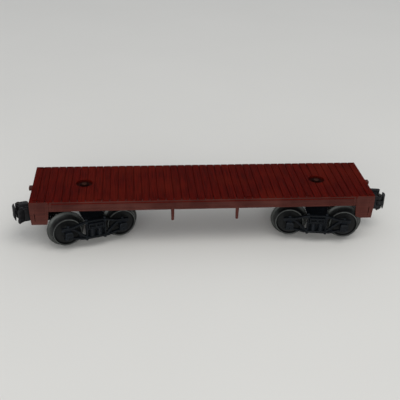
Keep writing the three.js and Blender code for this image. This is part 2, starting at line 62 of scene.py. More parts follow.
FLANGE_R = 11.0
HALF_BASE = 16.1
FRAME_IN, FRAME_BAR = 20.9, 22.9
PIN_X, PIN_Y, SCREW_X = 39.0, -2.6, 35.2
HINGE_X, HINGE_Z = 21.0, 13.35
HEAD_LOW, HEAD_HIGH, EAR_LOW_TOP, EAR_HIGH_BOTTOM = 13.9, 22.4, 16.4, 20.3

# The deck is deep maroon; the sills and legs are the same maroon painted a little greyer, as painted
# reflection of the pale floor.
DECK_TONES = {"base": (0.068, 0.0026, 0.0011), "light": (0.082, 0.0034, 0.0015),
              "dark": (0.024, 0.0012, 0.0007), "dusty": (0.095, 0.010, 0.005)}
SILL_TONES_WITH_PAINTED_REFLECTION = {"base": (0.050, 0.0104, 0.0072), "light": (0.061, 0.0138, 0.0098),
              "dark": (0.028, 0.0050, 0.0038), "dusty": (0.100, 0.033, 0.025)}
# Painted shade together with grime, laid into the kingpin recesses.
RECESS_SHADE_AND_GRIME_TONE = (0.010, 0.0022, 0.0016)

CAMERA_PLACE = (-42.2, -384.2, 228.4)
CAMERA_YAW, CAMERA_PITCH, CAMERA_ROLL = -6.137, -28.64, -1.835
CAMERA_LENS = 65.1


# ---------- Mesh tools ----------

def turn_outline(points, radius, steps=3, closed=True):
    """The outline with each corner rounded by up to radius."""
    rounded = []
    count = len(points)
    for i, point in enumerate(points):
        if not closed and i in (0, count - 1):
            rounded.append(Vector(point))
            continue
        corner = Vector(point)
        before = Vector(points[i - 1]) - corner
        after = Vector(points[(i + 1) % count]) - corner
        reach = min(radius, before.length * 0.45, after.length * 0.45)
        start = corner + before.normalized() * reach
        end = corner + after.normalized() * reach
        for k in range(steps + 1):
            t = k / steps
            rounded.append(start * (1 - t) ** 2 + corner * 2 * t * (1 - t) + end * t ** 2)
    return [tuple(p) for p in rounded]


def soften(bm, radius, segments=2, sharper_than=25):
    """Rounds every edge that is sharper than an angle in degrees."""
    limit = math.radians(sharper_than)
    edges = [e for e in bm.edges if len(e.link_faces) == 2 and e.calc_face_angle(0) > limit]
    if radius > 0 and edges:
        bmesh.ops.bevel(bm, geom=edges, offset=radius, segments=segments, profile=0.5,
                        affect="EDGES", clamp_overlap=True)
    return bm


def box(low, high, radius=0.12, segments=2):
    bm = bmesh.new()
    bmesh.ops.create_cube(bm, size=1)
    low, high = Vector(low), Vector(high)
    for v in bm.verts:
        v.co = Vector(low[i] if v.co[i] < 0 else high[i] for i in range(3))
    bmesh.ops.recalc_face_normals(bm, faces=bm.faces)
    return soften(bm, radius, segments)


def prism(outline, axis, start, end, radius=0.12, segments=2):
    """An outline pushed from start to end along an axis; it is drawn in the other two axes."""
    bm = bmesh.new()
    places = {
        "x": lambda u, v, d: (d, u, v),
        "y": lambda u, v, d: (u, d, v),
        "z": lambda u, v, d: (u, v, d),
    }
    place = places[axis]
    lower = [bm.verts.new(place(u, v, start)) for u, v in outline]
    upper = [bm.verts.new(place(u, v, end)) for u, v in outline]
    bm.faces.new(lower)
    bm.faces.new(upper[::-1])
    for i in range(len(outline)):
        j = (i + 1) % len(outline)
        bm.faces.new((lower[i], upper[i], upper[j], lower[j]))
    bmesh.ops.recalc_face_normals(bm, faces=bm.faces)
    return soften(bm, radius, segments)


def strap(centre, thickness, start, end, radius=0.15):
    """A flat bar bent in the XZ plane along a centre line, running across from start to end."""
    points = [Vector(p) for p in centre]
    upper, lower = [], []
    for i, point in enumerate(points):
        before = (point - points[i - 1]).normalized() if i else (points[1] - point).normalized()
        after = (points[i + 1] - point).normalized() if i < len(points) - 1 else before
        way = (before + after).normalized()
        normal = Vector((-way.y, way.x))
        reach = thickness / 2 / max(0.5, normal.dot(Vector((-after.y, after.x))))
        upper.append(tuple(point + normal * reach))
        lower.append(tuple(point - normal * reach))
    return prism(upper + lower[::-1], "y", start, end, radius)


def lathe(profile, segments=48, axis="z", centre=(0, 0, 0)):
    """A turned solid. The profile is radius and height; it is closed, or meets the axis at both ends."""
    bm = bmesh.new()
    rings = []
    for r, h in profile:
        if r < 1e-6:
            rings.append([bm.verts.new((0, 0, h))])
        else:
            angles = [2 * math.pi / segments * k for k in range(segments)]
            rings.append([bm.verts.new((r * math.cos(a), r * math.sin(a), h)) for a in angles])
    closed = profile[0][0] > 1e-6
    for i in range(len(rings) if closed else len(rings) - 1):
        a, b = rings[i], rings[(i + 1) % len(rings)]
        for k in range(segments):
            n = (k + 1) % segments
            corners = [a[k % len(a)], a[n % len(a)], b[n % len(b)], b[k % len(b)]]
            unique = list(dict.fromkeys(corners))
            if len(unique) > 2:
                bm.faces.new(unique)
    bmesh.ops.recalc_face_normals(bm, faces=bm.faces)
    turns = {
        "x": Matrix.Rotation(math.pi / 2, 4, "Y"),
        "y": Matrix.Rotation(-math.pi / 2, 4, "X"),
        "z": Matrix(),
    }
    bm.transform(Matrix.Translation(centre) @ turns[axis])
    return bm


def rod(radius, start, end, x=0.0, y=0.0, edge=0.12, segments=32):
    profile = turn_outline([(0, start), (radius, start), (radius, end), (0, end)], edge, 2, closed=False)
    return lathe(profile, segments, centre=(x, y, 0))


def cross_rod(radius, start, end, x, z, edge=0.12, segments=24):
    profile = turn_outline([(0, start), (radius, start), (radius, end), (0, end)], edge, 2, closed=False)
    return lathe(profile, segments, "y", (x, 0, z))


def tube(path, radius, sides=8):
    """A round bar along a path, closed at both ends."""
    bm = bmesh.new()
    points = [Vector(p) for p in path]
    rings = []
    for i, point in enumerate(points):
        way = (points[min(i + 1, len(points) - 1)] - points[max(i - 1, 0)]).normalized()
        side = way.cross(Vector((0, 0, 1))).normalized()
        up = side.cross(way)
        step = 2 * math.pi / sides
        rings.append([bm.verts.new(point + (side * math.cos(k * step) + up * math.sin(k * step)) * radius)
                      for k in range(sides)])
    for a, b in zip(rings, rings[1:]):
        for k in range(sides):
            bm.faces.new((a[k], a[(k + 1) % sides], b[(k + 1) % sides], b[k]))
    bm.faces.new(rings[0])
    bm.faces.new(rings[-1][::-1])
    bmesh.ops.recalc_face_normals(bm, faces=bm.faces)
    return bm


def coil(x, y, low, high, radius, wire, turns, per_turn=16):
    steps = round(turns * per_turn)
    path = []
    for i in range(steps + 1):
        a = 2 * math.pi * i / per_turn
        height = low + wire + (high - low - 2 * wire) * i / steps
        path.append((x + (radius - wire) * math.cos(a), y + (radius - wire) * math.sin(a), height))
    return tube(path, wire, 6)


def hex_nut(x, y, low, high, radius=0.95):
    outline = [(x + radius * math.cos(math.radians(60 * k)), y + radius * math.sin(math.radians(60 * k)))
               for k in range(6)]
    return prism(outline, "z", low, high, 0.1, 1)


def mirror(bm, axis):
    """A mirrored copy, its faces turned to point out."""
    copy = bm.copy()
    scale = Vector((-1 if axis == "x" else 1, -1 if axis == "y" else 1, 1))
    copy.transform(Matrix.Diagonal((*scale, 1)))
    bmesh.ops.reverse_faces(copy, faces=copy.faces)
    return copy


def join(parts):
    whole = bmesh.new()
    for part in parts:
        mesh = bpy.data.meshes.new("part")
        part.to_mesh(mesh)
        part.free()
        whole.from_mesh(mesh)
        bpy.data.meshes.remove(mesh)
    return whole


def piece(name, bm, finish, body, nodes, place=Matrix(), smooth=40, centred=False):
    """A finished piece in the scene: made in millimetres, put in place, and riding on its body.

    A centred piece keeps its own coordinates, so that its material can be laid out round its axis.
    """
    bm.transform(Matrix.Scale(MM, 4))
    if not centred:
        bm.transform(place)
    mesh = bpy.data.meshes.new(name)
    bm.to_mesh(mesh)
    bm.free()
    mesh.shade_smooth()
    mesh.set_sharp_from_angle(angle=math.radians(smooth))
    obj = bpy.data.objects.new(name, mesh)
    bpy.context.collection.objects.link(obj)
    obj.matrix_world = place if centred else Matrix()
    mesh.materials.append(finish)
    even = obj.modifiers.new("even_normals", "WEIGHTED_NORMAL")
    even.keep_sharp = True
    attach(obj, body)
    if nodes:
        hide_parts(*nodes)
    return obj


# ---------- Material tools ----------

class Finish:
    """A procedural material built round one Principled shader."""

    def __init__(self, name, roughness, metallic=0.0, specular=0.5):
        self.material = bpy.data.materials.new(name)
        self.material.use_nodes = True
        self.tree = self.material.node_tree
        self.shader = self.tree.nodes["Principled BSDF"]
        self.shader.inputs["Roughness"].default_value = roughness
        self.shader.inputs["Metallic"].default_value = metallic
        self.shader.inputs["Specular IOR Level"].default_value = specular
        self.coordinates = self.node("ShaderNodeTexCoord").outputs["Object"]

    def node(self, kind, **values):
        made = self.tree.nodes.new(kind)
        for key, value in values.items():
            if hasattr(made, key):
                setattr(made, key, value)
            else:
                made.inputs[key.replace("_", " ")].default_value = value
        return made

    def link(self, source, target):
        self.tree.links.new(source, target)

    def stretched(self, scale):
        mapping = self.node("ShaderNodeMapping", Scale=scale)
        self.link(self.coordinates, mapping.inputs["Vector"])
        return mapping.outputs["Vector"]

    def noise(self, scale, stretch=(1, 1, 1), detail=4.0, roughness=0.55, distortion=0.0):
        made = self.node("ShaderNodeTexNoise", Scale=scale, Detail=detail, Roughness=roughness,
                         Distortion=distortion)
        self.link(self.stretched(stretch), made.inputs["Vector"])
        return made.outputs["Fac"]

    def ramp(self, value, low, high, out_low=0.0, out_high=1.0):
        made = self.node("ShaderNodeMapRange")
        made.inputs["From Min"].default_value = low
        made.inputs["From Max"].default_value = high
        made.inputs["To Min"].default_value = out_low
        made.inputs["To Max"].default_value = out_high
        self.link(value, made.inputs["Value"])
        return made.outputs["Result"]

    def math(self, kind, first, second):
        made = self.node("ShaderNodeMath", operation=kind)
        for socket, value in zip(made.inputs, (first, second)):
            if isinstance(value, (int, float)):
                socket.default_value = value
            else:
                self.link(value, socket)
        return made.outputs["Value"]

    def mix(self, share, first, second):
        made = self.node("ShaderNodeMix", data_type="RGBA")
        self.link(share, made.inputs["Factor"])
        for socket, value in ((made.inputs["A"], first), (made.inputs["B"], second)):
            if isinstance(value, tuple):
                socket.default_value = (*value, 1)
            else:
                self.link(value, socket)
        return made.outputs["Result"]

    def bump(self, height, strength, distance_mm, under=None):
        made = self.node("ShaderNodeBump", Strength=strength, Distance=distance_mm * MM)
        self.link(height, made.inputs["Height"])
        if under is not None:
            self.link(under, made.inputs["Normal"])
        return made.outputs["Normal"]

    def finish(self, colour, roughness=None, normal=None):
        self.link(colour, self.shader.inputs["Base Color"])
        if roughness is not None:
            self.link(roughness, self.shader.inputs["Roughness"])
        if normal is not None:
            self.link(normal, self.shader.inputs["Normal"])
        return self.material


def maroon_plastic(name, grain, tones, specular, rubbed_and_highlit=False):
    """Moulded maroon plastic with wood grain along one axis.

    Planks differ a little in tone. Rounded edges, where asked for, are paler, partly from rubbing wear and
    partly as a painted highlight.
    """
    f = Finish(name, 0.5, specular=specular)
    fine, long = 1900, 70
    stretch = (long, fine, fine) if grain == "x" else (fine, long, fine)
    lines = f.noise(1, stretch, 5, 0.62)
    broad = f.noise(45, detail=3)
    specks = f.noise(900, detail=2)
    apart = f.node("ShaderNodeSeparateXYZ")
    f.link(f.coordinates, apart.inputs["Vector"])
    plank = f.math("FLOOR", f.math("DIVIDE", f.math("ADD", apart.outputs["X"], HALF_L * MM),
                                   LENGTH / PLANKS * MM), 0)
    pick = f.node("ShaderNodeTexWhiteNoise", noise_dimensions="1D")
    f.link(plank, pick.inputs["W"])
    tone = f.mix(f.ramp(pick.outputs["Value"], 0, 1, 0, 0.8), tones["base"], tones["light"])
    tone = f.mix(f.ramp(lines, 0.36, 0.62, 0.85, 0.0), tone, tones["dark"])
    tone = f.mix(f.ramp(broad, 0.42, 0.72, 0.0, 0.55), tone, tones["dusty"])
    tone = f.mix(f.ramp(specks, 0.68, 0.78, 0.0, 0.5), tone, tones["dusty"])
    # Painted shade and grime in the kingpin recesses.
    tone = f.mix(recess_shade_and_grime_share(f), tone, RECESS_SHADE_AND_GRIME_TONE)
    if rubbed_and_highlit:
        # Paler rounded edges: rubbing wear together with a painted highlight.
        tone = f.mix(worn_and_highlit_edges(f, 0.3), tone, tuple(1.3 * c for c in tones["dusty"]))
    rough = f.ramp(broad, 0.3, 0.7, 0.42, 0.6)
    return f.finish(tone, rough, f.bump(lines, 0.6, 0.06))


def recess_shade_and_grime_share(f):
    """How far a point lies inside one of the two kingpin recesses, which are darkened with painted shade and
    grime: 0 outside, 1 inside.
    """
    along = f.node("ShaderNodeSeparateXYZ")
    f.link(f.coordinates, along.inputs["Vector"])
    out = f.math("SUBTRACT", f.math("ABSOLUTE", along.outputs["X"], 0), KINGPIN_X * MM)
    square = f.math("ADD", f.math("POWER", f.math("ABSOLUTE", out, 0), 2),
                    f.math("POWER", f.math("ABSOLUTE", along.outputs["Y"], 0), 2))
    return f.ramp(f.math("SQRT", square, 0), 4.9 * MM, 4.5 * MM, 0.0, 0.85)


def worn_and_highlit_edges(f, reach_mm):
    """1 on rounded edges, where a wide bevel would turn the surface away from its face, and 0 on flats."""
    geometry = f.node("ShaderNodeNewGeometry")
    bevel = f.node("ShaderNodeBevel", samples=6, Radius=reach_mm * MM)
    turned = f.node("ShaderNodeVectorMath", operation="DOT_PRODUCT")
    f.link(bevel.outputs["Normal"], turned.inputs[0])
    f.link(geometry.outputs["True Normal"], turned.inputs[1])
    return f.ramp(turned.outputs["Value"], 0.97, 0.8, 0.0, 0.6)


def black_plastic(name, base=(0.0030, 0.0038, 0.0050), rough=(0.34, 0.48), specular=0.11):
    f = Finish(name, 0.45, specular=specular)
    cloud = f.noise(160, detail=4)
    dust = f.noise(700, detail=3)
    tone = f.mix(f.ramp(dust, 0.5, 0.8, 0.0, 0.6), base, tuple(4 * c for c in base))
    # Paler rounded edges: wear together with a painted highlight.
    tone = f.mix(worn_and_highlit_edges(f, 0.25), tone, tuple(12 * c for c in base))
    return f.finish(tone, f.ramp(cloud, 0.35, 0.65, *rough), f.bump(dust, 0.25, 0.03))


def wheel_metal(name):
    """Blackened casting. The flange is greenish grey, partly from wear and partly painted light; the narrow
    lip of the rim is a painted highlight in the same grey.
    """
    f = Finish(name, 0.4, metallic=0.3, specular=0.2)
    apart = f.node("ShaderNodeSeparateXYZ")
    f.link(f.coordinates, apart.inputs["Vector"])
    square = f.math("ADD", f.math("POWER", f.math("ABSOLUTE", apart.outputs["X"], 0), 2),
                    f.math("POWER", f.math("ABSOLUTE", apart.outputs["Z"], 0), 2))
    radius = f.math("SQRT", square, 0)
    # The flange's grey is partly wear and partly painted light on its lit top.
    flange = f.math("MULTIPLY", f.ramp(radius, 8.9 * MM, 9.7 * MM, 0.08, 1), 0.8)
    # A painted highlight: the thin bright arc of the rim's inner edge.
    lip_highlight = f.math("MULTIPLY", f.ramp(radius, 7.85 * MM, 7.95 * MM), f.ramp(radius, 8.4 * MM, 8.3 * MM))
    wear_and_highlight = f.math("MAXIMUM", flange, lip_highlight)
    patches = f.noise(260, detail=4)
    share = f.math("MULTIPLY", wear_and_highlight, f.ramp(patches, 0.3, 0.6, 0.5, 1.0))
    tone = f.mix(share, (0.0036, 0.0040, 0.0044), (0.075, 0.080, 0.076))
    rough = f.ramp(patches, 0.35, 0.65, 0.34, 0.5)
    return f.finish(tone, rough, f.bump(patches, 0.15, 0.05))


def dark_metal(name, base, rough, metallic=0.85):
    f = Finish(name, 0.4, metallic=metallic)
    patches = f.noise(300, detail=5)
    fine = f.noise(1600, detail=2)
    tone = f.mix(f.ramp(patches, 0.35, 0.7), base, tuple(c * 1.9 for c in base))
    return f.finish(tone, f.ramp(patches, 0.3, 0.7, *rough), f.bump(fine, 0.15, 0.02))


# ---------- Car body ----------

def cut(shape, cutters):
    """The shape less the cutters."""
    made = []
    for source in (shape, join(cutters)):
        mesh = bpy.data.meshes.new("cut")
        source.to_mesh(mesh)
        source.free()
        made.append(bpy.data.objects.new("cut", mesh))
        bpy.context.collection.objects.link(made[-1])
    boolean = made[0].modifiers.new("cut", "BOOLEAN")
    boolean.operation = "DIFFERENCE"
    boolean.solver = "EXACT"
    boolean.object = made[1]
    solid = made[0].evaluated_get(bpy.context.evaluated_depsgraph_get())
    result = bmesh.new()
    result.from_mesh(solid.to_mesh())
    solid.to_mesh_clear()
    for obj in made:
        mesh = obj.data
        bpy.data.objects.remove(obj)
        bpy.data.meshes.remove(mesh)
    return result


def deck_openings():
    """Where each opening in the deck is along the car, and the shape that cuts it."""
    openings = []
    for side in (-1, 1):
        x = side * KINGPIN_X
        recess = [(0, 20), (2.0, 20), (2.0, 29.2), (4.6, 29.2), (4.75, 29.35), (4.75, 30.0), (5.35, 31.0),
                  (0, 31.0)]
        openings.append((x - 5.4, x + 5.4, lambda x=x: lathe(recess, 64, centre=(x, 0, 0))))
        for slot_x in SLOT_XS:
            for y in (-SLOT_Y, SLOT_Y):
                low = (side * slot_x - SLOT_LENGTH / 2, y - SLOT_WIDTH / 2, 27.9)
                high = (side * slot_x + SLOT_LENGTH / 2, y + SLOT_WIDTH / 2, 31.0)
                openings.append((low[0], high[0], lambda low=low, high=high: box(low, high, 0)))
    return openings


def deck(rng):
    """A slab with rounded planks on it. Every plank is a little different, as in the moulding."""
    openings = deck_openings()
    slab = box((-HALF_L + 0.1, -HALF_W + 0.1, DECK_UNDER), (HALF_L - 0.1, HALF_W - 0.1, PLANK_BASE), 0)
    parts = [cut(slab, [make() for _, _, make in openings])]
    pitch = LENGTH / PLANKS
    ends = [-HALF_L + i * pitch + (rng.uniform(-0.1, 0.1) if 0 < i < PLANKS else 0)
            for i in range(PLANKS + 1)]
    for left, right in zip(ends, ends[1:]):
        low = (left + PLANK_GAP / 2, -HALF_W + rng.uniform(0, 0.08), PLANK_BASE - 0.12)
        high = (right - PLANK_GAP / 2, HALF_W - rng.uniform(0, 0.08), TOP - rng.uniform(0, 0.07))
        plank = box(low, high, 0)
        near = [make() for start, end, make in openings if start < high[0] and end > low[0]]
        parts.append(soften(cut(plank, near) if near else plank, 0.13))
    return join(parts)


def wheel_sweep():
    """The space that the wheel flanges sweep when the truck at +X swivels, at the height of the legs."""
    profile = [(0, LEG_BOTTOM - 1)]
    for step in range(-1, 7):
        z = LEG_BOTTOM + step * (2 * FLANGE_R - 1 - LEG_BOTTOM) / 6
        chord = math.sqrt(FLANGE_R ** 2 - (z - FLANGE_R) ** 2)
        profile.append((math.hypot(HALF_BASE + chord, 15.5) + 0.3, z))
    profile.append((0, profile[-1][1]))
    return lathe(profile, 128, centre=(KINGPIN_X, 0, 0))


def leg_panel(end):
    """The +Y leg at one end: its face is sunk inside a border, and has a seam near its outer edge."""
    top = PLANK_BASE + 0.03
    outline = [(LEG_IN_TOP, SILL_BOTTOM), *LEG_FEET[end], (LEG_OUT_BOTTOM, LEG_BOTTOM), (HALF_L, SILL_BOTTOM),
               (HALF_L, top), (LEG_IN_TOP, top)]
    panel = prism(turn_outline(outline, 0.3), "y", LEG_INNER, HALF_W - 0.01, 0)
    sunk = prism([(90.9, SILL_BOTTOM - 1), (91.9, LEG_BOTTOM + 1.5), (97.0, LEG_BOTTOM + 1.5),
                  (97.5, SILL_BOTTOM + 0.6), (97.5, 28.3), (90.9, 28.3)], "y", HALF_W - 0.2, HALF_W + 1, 0)
    seam = box((97.0, HALF_W - 1.3, LEG_BOTTOM + 1.8), (97.8, HALF_W + 1, SILL_BOTTOM - 1.2), 0)
    for cutter in (sunk, seam, wheel_sweep()):
        panel = cut(panel, [cutter])
    panel = soften(panel, 0.1)
    return mirror(panel, "x") if end == "left" else panel


def side_wall():
    """The +Y side: the sill with the raised borders on its face, and a leg at each end."""
    top = PLANK_BASE + 0.03
    behind = SILL_FACE - 0.3
    core = box((-HALF_L + 0.1, SILL_INNER, SILL_BOTTOM + 0.02), (HALF_L - 0.1, SILL_FACE, top), 0.1)
    lips = [box((-RECESS_END, behind, low), (RECESS_END, HALF_W, low + 0.95), 0.16)
            for low in (SILL_BOTTOM, top - 0.95)]
    rib = box((RECESS_END - 0.05, behind, SILL_BOTTOM), (LEG_IN_TOP - 0.6, HALF_W - 0.02, top), 0.14)
    return join([core, rib, mirror(rib, "x"), leg_panel("left"), leg_panel("right")] + lips)


def end_wall():
    """The +X end: the end sill and a short panel beside each leg."""
    top = PLANK_BASE + 0.02
    sill = box((HALF_L - END_WALL, -HALF_W + 0.3, SILL_BOTTOM + 0.02),
               (HALF_L - 0.02, HALF_W - 0.3, top), 0.16)
    outline = [(LEG_OUT_BOTTOM - END_WALL, LEG_BOTTOM + 0.01), (LEG_OUT_BOTTOM - 0.01, LEG_BOTTOM + 0.01),
               (HALF_L - 0.01, SILL_BOTTOM), (HALF_L - 0.01, top), (HALF_L - END_WALL, top),
               (HALF_L - END_WALL, SILL_BOTTOM)]
    panel = prism(outline, "y", HALF_W - 5.2, HALF_W - 0.05, 0.16)
    return join([sill, panel, mirror(panel, "y")])


def end_lug():
    return box((HALF_L - 1, -3.7, 27.7), (HALF_L + 1.9, -0.7, 29.9), 0.3, 3)


def under_ribs():
    """The stiffening ribs under the deck, and the boss that stands on each truck."""
    low = DECK_UNDER - 2.4
    parts = [box((-98.5, y - 0.7, low), (98.5, y + 0.7, DECK_UNDER + 0.3), 0.14) for y in (-8.5, 8.5)]
    parts += [box((x - 0.7, -21, low + 0.01), (x + 0.7, 21, DECK_UNDER + 0.3), 0.14) for x in (-35, 0, 35)]
    ring = turn_outline([(2.0, 24.2), (6.6, 24.2), (6.6, DECK_UNDER + 0.3), (2.0, DECK_UNDER + 0.3)], 0.25)
    parts += [lathe(ring, 64, centre=(x, 0, 0)) for x in (-KINGPIN_X, KINGPIN_X)]
    return join(parts)


def queen_posts():
    """Four tapered posts that hang below the side sills."""
    half = [(0, POST_BOTTOM), (0.8, POST_BOTTOM), (1.05, SILL_BOTTOM), (1.05, SILL_BOTTOM + 1),
            (0, SILL_BOTTOM + 1)]
    profile = turn_outline(half, 0.4, 4, closed=False)
    return join([lathe(profile, 32, centre=(x, y, 0)) for x in (-POST_X, POST_X) for y in (-POST_Y, POST_Y)])


def build_body():
    rng = random.Random(7)
    planks = maroon_plastic("maroon_deck", "y", DECK_TONES, 0.01)
    # Greyer sill tones are painted reflection of the pale floor; the paler rounded edges are wear with a
    # painted highlight.
    sills = maroon_plastic("maroon_sills", "x", SILL_TONES_WITH_PAINTED_REFLECTION, 0.12, rubbed_and_highlit=True)
    piece("deck_planks", deck(rng), planks, "car_body", ["body"])
    side, end = side_wall(), end_wall()
    walls = [side, mirror(side, "y"), end, mirror(end, "x"), end_lug(), mirror(end_lug(), "x")]
    piece("sills_and_legs", join(walls), sills, "car_body", [])
    piece("under_ribs", under_ribs(), sills, "car_body", [])
    piece("queen_posts", queen_posts(), sills, "car_body", [])


# ---------- Kingpins ----------

def rivet_finish(name):
    """Brown on the domed middle of the rivet; the flange round it is dark with grime and with painted shade
    of the recess.
    """
    f = Finish(name, 0.5, specular=0.01)
    apart = f.node("ShaderNodeSeparateXYZ")
    f.link(f.coordinates, apart.inputs["Vector"])
    square = f.math("ADD", f.math("MULTIPLY", apart.outputs["X"], apart.outputs["X"]),
                    f.math("MULTIPLY", apart.outputs["Y"], apart.outputs["Y"]))
    patches = f.noise(500, detail=4)
    middle = f.mix(f.ramp(patches, 0.35, 0.65), (0.022, 0.0075, 0.005), (0.040, 0.016, 0.011))
    # The flange is darkened as painted shade of the recess, together with grime.
    tone = f.mix(f.ramp(f.math("SQRT", square, 0), 1.4 * MM, 1.65 * MM), middle, (0.0060, 0.0010, 0.0006))
    return f.finish(tone, f.ramp(patches, 0.3, 0.7, 0.3, 0.45), f.bump(patches, 0.15, 0.03))


def kingpin():
    """A riveted pin: a thin flange with a domed and dimpled middle on top, and a spread tail below."""
    profile = [(0, 11.9), (2.2, 11.9), (2.6, 12.8), (1.6, 12.8), (1.6, 29.45), (2.6, 29.45), (2.6, 29.62),
               (1.6, 29.7), (1.45, 30.1), (1.1, 30.22), (0.6, 30.05), (0, 30.0)]
    return lathe(turn_outline(profile, 0.14, 3, closed=False), 64)


def washer():
    return lathe(turn_outline([(1.9, 13.4), (4.0, 13.4), (4.0, 14.0), (1.9, 14.0)], 0.12), 64)


def build_kingpins(bright, rivet):
    for end, x in (("left", -KINGPIN_X), ("right", KINGPIN_X)):
        place = Matrix.Translation((x * MM, 0, 0))
        piece(f"kingpin_{end}_rivet", kingpin(), rivet, "car_body", [f"kingpin_{end}"], place,
              centred=True)
        piece(f"kingpin_{end}_washer", washer(), bright, "car_body", [f"kingpin_washer_{end}"],
              place)


# ---------- Trucks: wheels and side frames ----------

def wheel():
    """A flanged wheel for the +Y end of its axle, about the axle's centre."""
    hub_back = [(1.52, 13.5), (1.6, 13.4), (2.9, 13.4), (3.0, 13.5), (3.05, 14.35), (3.4, 14.6)]
    flange = [(7.6, 14.6), (8.4, 14.5), (10.2, 14.62), (10.75, 14.78), (10.97, 15.05), (10.97, 15.3),
              (10.7, 15.62), (10.0, 15.95), (9.5, 16.3)]
    tread = [(9.3, 16.85), (9.18, 17.4), (8.72, 19.9), (8.6, 20.12), (8.42, 20.2), (7.82, 20.2), (7.64, 20.1)]
    dish = [(7.42, 19.3), (7.2, 18.95), (6.8, 18.8), (3.9, 18.8), (3.35, 18.95), (3.1, 19.4)]
    hub_front = [(3.02, 19.85), (2.85, 20.0), (1.62, 20.0), (1.52, 19.9)]
    profile = hub_back + flange + tread + dish + hub_front
    return lathe(profile, 96, "y")


def axle():
    profile = [(0, -23.6), (0.85, -23.6), (1.0, -23.45), (1.0, -20.3), (1.4, -20.3), (1.5, -20.2)]
    profile += [(r, -h) for r, h in reversed(profile)]
    return lathe(profile, 32, "y")


def side_bars():
    """The arch bar, the inverted arch bar and the tie bar, with a small gusset beside each column."""
    half_arch = [(5.3, 16.95), (13.2, 14.55), (19.8, 14.55)]
    half_low = [(6.2, 7.2), (12.8, 13.5), (19.8, 13.5)]
    half_tie = [(7.0, 6.15), (13.4, 7.65), (18.7, 7.65)]
    bars = []
    for half in (half_arch, half_low, half_tie):
        centre = turn_outline([(-x, z) for x, z in reversed(half)] + half, 1.4, 5, closed=False)
        bars.append(strap(centre, 1.08, FRAME_IN, FRAME_BAR, 0.2))
    gusset = prism([(5.9, 6.6), (9.6, 6.7), (9.6, 9.9), (6.2, 7.2), (5.9, 7.2)], "y", FRAME_IN + 0.05,
                   FRAME_IN + 0.8, 0.1)
    return bars + [gusset, mirror(gusset, "x")]


def bolt(x, bottom, top, y=21.9):
    """A long bolt through the bars, with a nut at each end."""
    shank = rod(0.45, bottom - 0.25, top + 0.25, x, y, 0.1, 16)
    nuts = [hex_nut(x, y, top - 0.75, top), hex_nut(x, y, bottom, bottom + 0.75)]
    return [shank] + nuts


def spring_nest():
    """The two columns, with the spring plank, two springs, their cap and the web behind them."""
    parts = []
    for side in (-1, 1):
        x = side * 5.4
        parts.append(box((x - 0.45, FRAME_IN, 6.6), (x + 0.45, 23.4, 17.1), 0.15))
        parts.append(box((x - 0.7, FRAME_IN + 0.3, 15.7), (x + 0.7, 23.2, 16.6), 0.15))
        parts += bolt(x, 4.9, 18.3)
    parts.append(box((-5.05, FRAME_IN, 7.6), (5.05, FRAME_IN + 0.8, 13.05), 0.1))
    parts.append(box((-5.85, FRAME_IN, 6.65), (5.85, 24.3, 7.8), 0.2))
    parts.append(box((-5.1, FRAME_IN + 0.2, 12.55), (5.1, 23.9, 13.1), 0.15))
    for x in (-2.2, 2.2):
        parts.append(rod(1.0, 7.7, 12.7, x, 22.6, 0.05, 20))
        parts.append(coil(x, 22.6, 7.7, 12.7, 1.6, 0.38, 5.5, 20))
    return parts


def journal_box(x):
    """A journal box with its lid and round boss, held between the bars by a bolt."""
    outline = turn_outline([(x - 2.3, 8.1), (x + 2.3, 8.1), (x + 2.3, 12.0), (x + 1.5, 13.1), (x - 1.5, 13.1),
                            (x - 2.3, 12.0)], 0.5)
    body = prism(outline, "y", FRAME_IN, 24.4, 0.25)
    lid_side = [(24.0, 8.5), (24.7, 8.6), (24.85, 10.2), (24.6, 12.4), (24.0, 12.8)]
    lid = prism(turn_outline(lid_side, 0.3), "x", x - 1.8, x + 1.8, 0.25)
    half = [(0, 24.0), (1.0, 24.0), (1.0, 25.08), (0.55, 25.08), (0.5, 24.7), (0, 24.7)]
    ring = turn_outline(half, 0.12, 2, closed=False)
    boss = lathe(ring, 24, "y", (x, 0, 9.7))
    return [body, lid, boss] + bolt(x, 12.6, 15.95)


def side_frame():
    """A side frame for the +Y side of its truck."""
    return join(side_bars() + spring_nest() + journal_box(HALF_BASE) + journal_box(-HALF_BASE))


# ---------- Trucks: bolster ----------

def bolster():
    """The cross beam: it carries the centre plate, and its ends stand on the springs."""
    half_beam = [(5.6, 13.4), (24.2, 13.4), (24.2, 16.1), (19, 16.1), (12.5, 19.5)]
    outline = [(-5.6, 15.6), (5.6, 15.6)] + half_beam + [(-y, z) for y, z in reversed(half_beam)]
    beam = prism(outline, "x", -4.6, 4.6, 0)
    pocket = box((0.5, 23.0, 13.9), (3.9, 25, 15.6), 0)
    pockets = [pocket, mirror(pocket, "x")]
    pockets += [mirror(shape, "y") for shape in pockets]
    beam = soften(cut(beam, [rod(2.0, 0, 30, edge=0)] + pockets), 0.16)
    plate = turn_outline([(2.0, 19.2), (6.8, 19.2), (6.8, 23.4), (6.3, 23.9), (2.0, 23.9)], 0.3)
    wing = [(9.0, 17.2), (16.9, 17.2), (12.5, 19.5), (9.0, 19.5)]
    lower = [(9.0, 16.0), (19.0, 16.1), (16.8, 17.3), (9.0, 17.3)]
    wings = [prism([(side * y, z) for y, z in shape], "x", -half, half, 0.16)
             for side in (-1, 1) for shape, half in ((wing, 6.6), (lower, 6.0))]
    pads = [box((-3.2, y - 1.2, 19.2), (3.2, y + 1.2, 21.6), 0.3) for y in (-10.4, 10.4)]
    return join([beam, lathe(plate, 64)] + wings + pads)


# ---------- Trucks: coupler ----------

